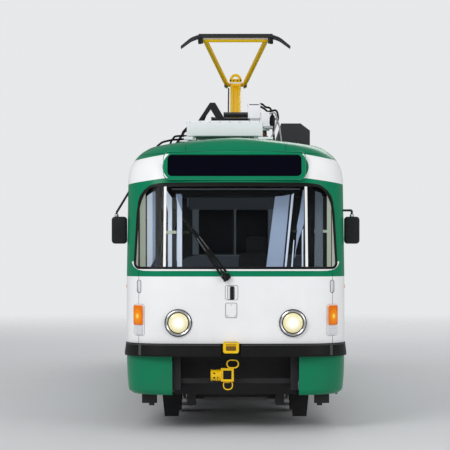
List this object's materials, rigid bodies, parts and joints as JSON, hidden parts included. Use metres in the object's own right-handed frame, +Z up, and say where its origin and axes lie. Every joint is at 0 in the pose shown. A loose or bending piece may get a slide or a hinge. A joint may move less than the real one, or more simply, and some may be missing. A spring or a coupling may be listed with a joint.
{
  "type": "tram",
  "caption": "Single ended bogie tram with folding doors on one side, raked windscreen, sign box, folded couplers and a half pantograph.",
  "frame": {"origin": "middle of the bounding box at the height of the lowest point of the wheel flanges", "axes": "+Z up, -Y towards the front, +X towards the car's left side, away from the doors"},
  "size_m": [2.878, 13.9996, 4.957],
  "materials": {
    "white_paint": "gloss",
    "green_paint": "gloss",
    "door_paint": "gloss",
    "bumper_rubber": "matt",
    "clear_glass": "gloss",
    "sign_glass": "gloss",
    "lamp_lens": "gloss",
    "lamp_chrome": "polished",
    "amber_lens": "gloss",
    "red_lens": "gloss",
    "clear_lens": "gloss",
    "black_plastic": "matt",
    "inside_grey": "matt",
    "seat_fabric": "matt",
    "floor_covering": "matt",
    "step_steel": "matt",
    "rail_steel": "satin",
    "frame_black": "matt",
    "wheel_steel": "worn",
    "roof_grey": "satin",
    "resistor_dark": "matt",
    "gold_paint": "satin",
    "pan_black": "satin"
  },
  "bodies": {
    "tram_body": {"front_mask": "white_paint", "rear_mask": "white_paint", "side_wall_left": "white_paint", "side_wall_right": "white_paint", "door_portals": "white_paint", "screen_posts": "white_paint", "roof_shell": "green_paint", "corner_skirts": "green_paint", "side_skirts": "green_paint", "bumpers": "bumper_rubber", "screen_rubbers": "bumper_rubber", "window_rubbers": "bumper_rubber", "screen_glass": "clear_glass", "side_glass": "clear_glass", "sign_panel": "sign_glass", "headlamps": "lamp_lens", "lamp_rims": "lamp_chrome", "turn_lamps": "amber_lens", "tail_lamps": "red_lens", "marker_lamps": "clear_lens", "mirrors": "black_plastic", "cab_partition": "inside_grey", "driver_desk": "inside_grey", "driver_seat": "seat_fabric", "passenger_seats": "seat_fabric", "floor": "floor_covering", "step_wells": "step_steel", "handrails": "rail_steel", "underframe": "frame_black", "cross_bearers": "frame_black", "end_gear": "frame_black", "underfloor_boxes": "frame_black", "roof_gear": "frame_black", "roof_boxes": "roof_grey", "resistor_box": "resistor_dark", "couplers": "gold_paint", "cable_sockets": "gold_paint", "pantograph_base": "pan_black"},
    "front_bogie": {"bogie_front": "frame_black"},
    "rear_bogie": {"bogie_rear": "frame_black"},
    "wheelset_1": {"wheelset_1": "wheel_steel"},
    "wheelset_2": {"wheelset_2": "wheel_steel"},
    "wheelset_3": {"wheelset_3": "wheel_steel"},
    "wheelset_4": {"wheelset_4": "wheel_steel"},
    "door1_a1": {"door1_a1": "door_paint"},
    "door1_a2": {"door1_a2": "door_paint"},
    "door1_b1": {"door1_b1": "door_paint"},
    "door1_b2": {"door1_b2": "door_paint"},
    "door2_a1": {"door2_a1": "door_paint"},
    "door2_a2": {"door2_a2": "door_paint"},
    "door2_b1": {"door2_b1": "door_paint"},
    "door2_b2": {"door2_b2": "door_paint"},
    "door3_a1": {"door3_a1": "door_paint"},
    "door3_a2": {"door3_a2": "door_paint"},
    "door3_b1": {"door3_b1": "door_paint"},
    "door3_b2": {"door3_b2": "door_paint"},
    "wiper": {"wiper": "black_plastic"},
    "lower_arm": {"lower_arm": "gold_paint"},
    "upper_arm": {"upper_arm": "gold_paint"},
    "pan_head": {"pan_head": "pan_black"}
  },
  "joints": [
    {"name": "front_bogie_swivel", "type": "hinge", "parent": "tram_body", "child": "front_bogie", "pos_m": [0, -3.2, 0.74], "axis": [0, 0, 1], "range_deg": [-10, 10]},
    {"name": "rear_bogie_swivel", "type": "hinge", "parent": "tram_body", "child": "rear_bogie", "pos_m": [0, 3.2, 0.74], "axis": [0, 0, 1], "range_deg": [-10, 10]},
    {"name": "wheelset_1_spin", "type": "hinge", "parent": "front_bogie", "child": "wheelset_1", "pos_m": [0, -4.15, 0.377], "axis": [1, 0, 0], "continuous": true},
    {"name": "wheelset_2_spin", "type": "hinge", "parent": "front_bogie", "child": "wheelset_2", "pos_m": [0, -2.25, 0.377], "axis": [1, 0, 0], "continuous": true},
    {"name": "wheelset_3_spin", "type": "hinge", "parent": "rear_bogie", "child": "wheelset_3", "pos_m": [0, 2.25, 0.377], "axis": [1, 0, 0], "continuous": true},
    {"name": "wheelset_4_spin", "type": "hinge", "parent": "rear_bogie", "child": "wheelset_4", "pos_m": [0, 4.15, 0.377], "axis": [1, 0, 0], "continuous": true},
    {"name": "door1_a1_fold", "type": "hinge", "parent": "tram_body", "child": "door1_a1", "pos_m": [-1.181, -5.925, 1.5], "axis": [0, 0, -1], "range_deg": [0, 85]},
    {"name": "door1_a2_fold", "type": "hinge", "parent": "door1_a1", "child": "door1_a2", "pos_m": [-1.201, -5.622, 1.5], "axis": [0, 0, -1], "range_deg": [-170, 0]},
    {"name": "door1_b1_fold", "type": "hinge", "parent": "tram_body", "child": "door1_b1", "pos_m": [-1.181, -4.675, 1.5], "axis": [0, 0, -1], "range_deg": [-85, 0]},
    {"name": "door1_b2_fold", "type": "hinge", "parent": "door1_b1", "child": "door1_b2", "pos_m": [-1.201, -4.978, 1.5], "axis": [0, 0, -1], "range_deg": [0, 170]},
    {"name": "door2_a1_fold", "type": "hinge", "parent": "tram_body", "child": "door2_a1", "pos_m": [-1.181, -0.625, 1.5], "axis": [0, 0, -1], "range_deg": [0, 85]},
    {"name": "door2_a2_fold", "type": "hinge", "parent": "door2_a1", "child": "door2_a2", "pos_m": [-1.201, -0.322, 1.5], "axis": [0, 0, -1], "range_deg": [-170, 0]},
    {"name": "door2_b1_fold", "type": "hinge", "parent": "tram_body", "child": "door2_b1", "pos_m": [-1.181, 0.625, 1.5], "axis": [0, 0, -1], "range_deg": [-85, 0]},
    {"name": "door2_b2_fold", "type": "hinge", "parent": "door2_b1", "child": "door2_b2", "pos_m": [-1.201, 0.322, 1.5], "axis": [0, 0, -1], "range_deg": [0, 170]},
    {"name": "door3_a1_fold", "type": "hinge", "parent": "tram_body", "child": "door3_a1", "pos_m": [-1.181, 4.675, 1.5], "axis": [0, 0, -1], "range_deg": [0, 85]},
    {"name": "door3_a2_fold", "type": "hinge", "parent": "door3_a1", "child": "door3_a2", "pos_m": [-1.201, 4.978, 1.5], "axis": [0, 0, -1], "range_deg": [-170, 0]},
    {"name": "door3_b1_fold", "type": "hinge", "parent": "tram_body", "child": "door3_b1", "pos_m": [-1.181, 5.925, 1.5], "axis": [0, 0, -1], "range_deg": [-85, 0]},
    {"name": "door3_b2_fold", "type": "hinge", "parent": "door3_b1", "child": "door3_b2", "pos_m": [-1.201, 5.622, 1.5], "axis": [0, 0, -1], "range_deg": [0, 170]},
    {"name": "wiper_sweep", "type": "hinge", "parent": "tram_body", "child": "wiper", "pos_m": [-0.104, -6.94816, 1.7245], "axis": [0, -0.9636, 0.2672], "range_deg": [-70, 22]},
    {"name": "lower_arm_lift", "type": "hinge", "parent": "tram_body", "child": "lower_arm", "pos_m": [0, -2.66, 3.78], "axis": [1, 0, 0], "range_deg": [-22, 20]},
    {"name": "upper_arm_lift", "type": "hinge", "parent": "lower_arm", "child": "upper_arm", "pos_m": [0, -1.51754, 4.40031], "axis": [1, 0, 0], "range_deg": [-33.7, 37.1]},
    {"name": "pan_head_lift", "type": "hinge", "parent": "upper_arm", "child": "pan_head", "pos_m": [0, -2.77997, 4.8786], "axis": [1, 0, 0], "range_deg": [-15.1, 13.7]}
  ],
  "couplings": [
    {"joint": "door1_a2_fold", "follows": "door1_a1_fold", "ratio": -2},
    {"joint": "door1_b1_fold", "follows": "door1_a1_fold", "ratio": -1},
    {"joint": "door1_b2_fold", "follows": "door1_a1_fold", "ratio": 2},
    {"joint": "door2_a2_fold", "follows": "door2_a1_fold", "ratio": -2},
    {"joint": "door2_b1_fold", "follows": "door2_a1_fold", "ratio": -1},
    {"joint": "door2_b2_fold", "follows": "door2_a1_fold", "ratio": 2},
    {"joint": "door3_a2_fold", "follows": "door3_a1_fold", "ratio": -2},
    {"joint": "door3_b1_fold", "follows": "door3_a1_fold", "ratio": -1},
    {"joint": "door3_b2_fold", "follows": "door3_a1_fold", "ratio": 2},
    {"joint": "upper_arm_lift", "follows": "lower_arm_lift", "ratio": -1.682},
    {"joint": "pan_head_lift", "follows": "lower_arm_lift", "ratio": 0.682}
  ]
}
